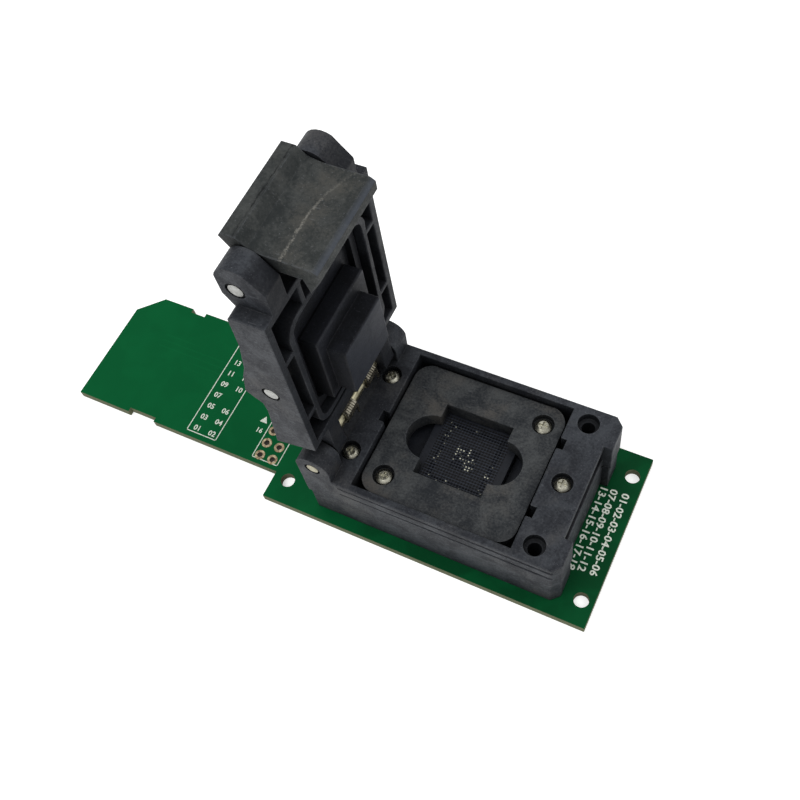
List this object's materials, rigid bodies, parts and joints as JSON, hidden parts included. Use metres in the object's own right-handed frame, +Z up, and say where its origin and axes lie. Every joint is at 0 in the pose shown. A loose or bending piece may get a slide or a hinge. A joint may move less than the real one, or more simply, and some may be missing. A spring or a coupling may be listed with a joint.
{
  "type": "zif socket",
  "caption": "Clamshell test socket for a ball-grid memory chip on a card-shaped adapter board, with hinged lid, pusher and latch, lid open.",
  "frame": {"origin": "middle of the adapter board's underside", "axes": "+X runs from the card tongue to the latch end, +Z is up from the board towards the lid, +Y completes the right-handed frame"},
  "size_m": [0.1012, 0.0316, 0.0675],
  "materials": {
    "board": "green solder mask on glass-fibre board",
    "contact_gold": "gold-plated copper",
    "black_plastic": "moulded and machined glass-filled plastic, satin with flow marks",
    "dark_plastic": "machined black plastic, fine tool marks",
    "steel": "bright stainless steel",
    "spring_steel": "bright drawn spring wire"
  },
  "bodies": {
    "base": {"adapter_board": "board", "header_pads": "contact_gold", "card_contacts": "contact_gold", "board_screws": "steel", "lower_housing": "black_plastic", "contact_retainer": "dark_plastic", "contact_block": "dark_plastic", "contact_pins": "contact_gold", "socket_frame": "black_plastic", "frame_screws": "steel", "plate_screws": "steel", "plate_spring_a": "spring_steel", "plate_spring_b": "spring_steel", "plate_spring_c": "spring_steel", "plate_spring_d": "spring_steel", "hinge_pin": "steel", "hinge_spring_near": "spring_steel", "hinge_spring_far": "spring_steel"},
    "plate": {"floating_plate": "black_plastic"},
    "lid": {"lid_frame": "black_plastic", "pusher_pin": "steel", "latch_pin": "steel"},
    "pusher": {"pusher_carrier": "black_plastic", "pressure_block": "dark_plastic"},
    "latch": {"latch": "black_plastic"}
  },
  "joints": [
    {"name": "lid_hinge", "type": "hinge", "parent": "base", "child": "lid", "pos_m": [0.0046, 0, 0.0183], "axis": [0, 1, 0], "range_deg": [0, 90], "stiffness_Nm_per_rad": 0.002, "springref_deg": -28.65},
    {"name": "latch_pivot", "type": "hinge", "parent": "lid", "child": "latch", "pos_m": [0.0024, 0, 0.0622], "axis": [0, 1, 0], "range_deg": [-25, 28]},
    {"name": "pusher_tilt", "type": "hinge", "parent": "lid", "child": "pusher", "pos_m": [0.00305, 0, 0.0408], "axis": [0, 1, 0], "range_deg": [-1.5, 1.5]},
    {"name": "plate_travel", "type": "slide", "parent": "base", "child": "plate", "axis": [0, 0, -1], "range_m": [0, 0.0004], "stiffness_N_per_m": 600, "springref_m": -0.002, "deforming": ["plate_spring_a", "plate_spring_b", "plate_spring_c", "plate_spring_d"]}
  ]
}
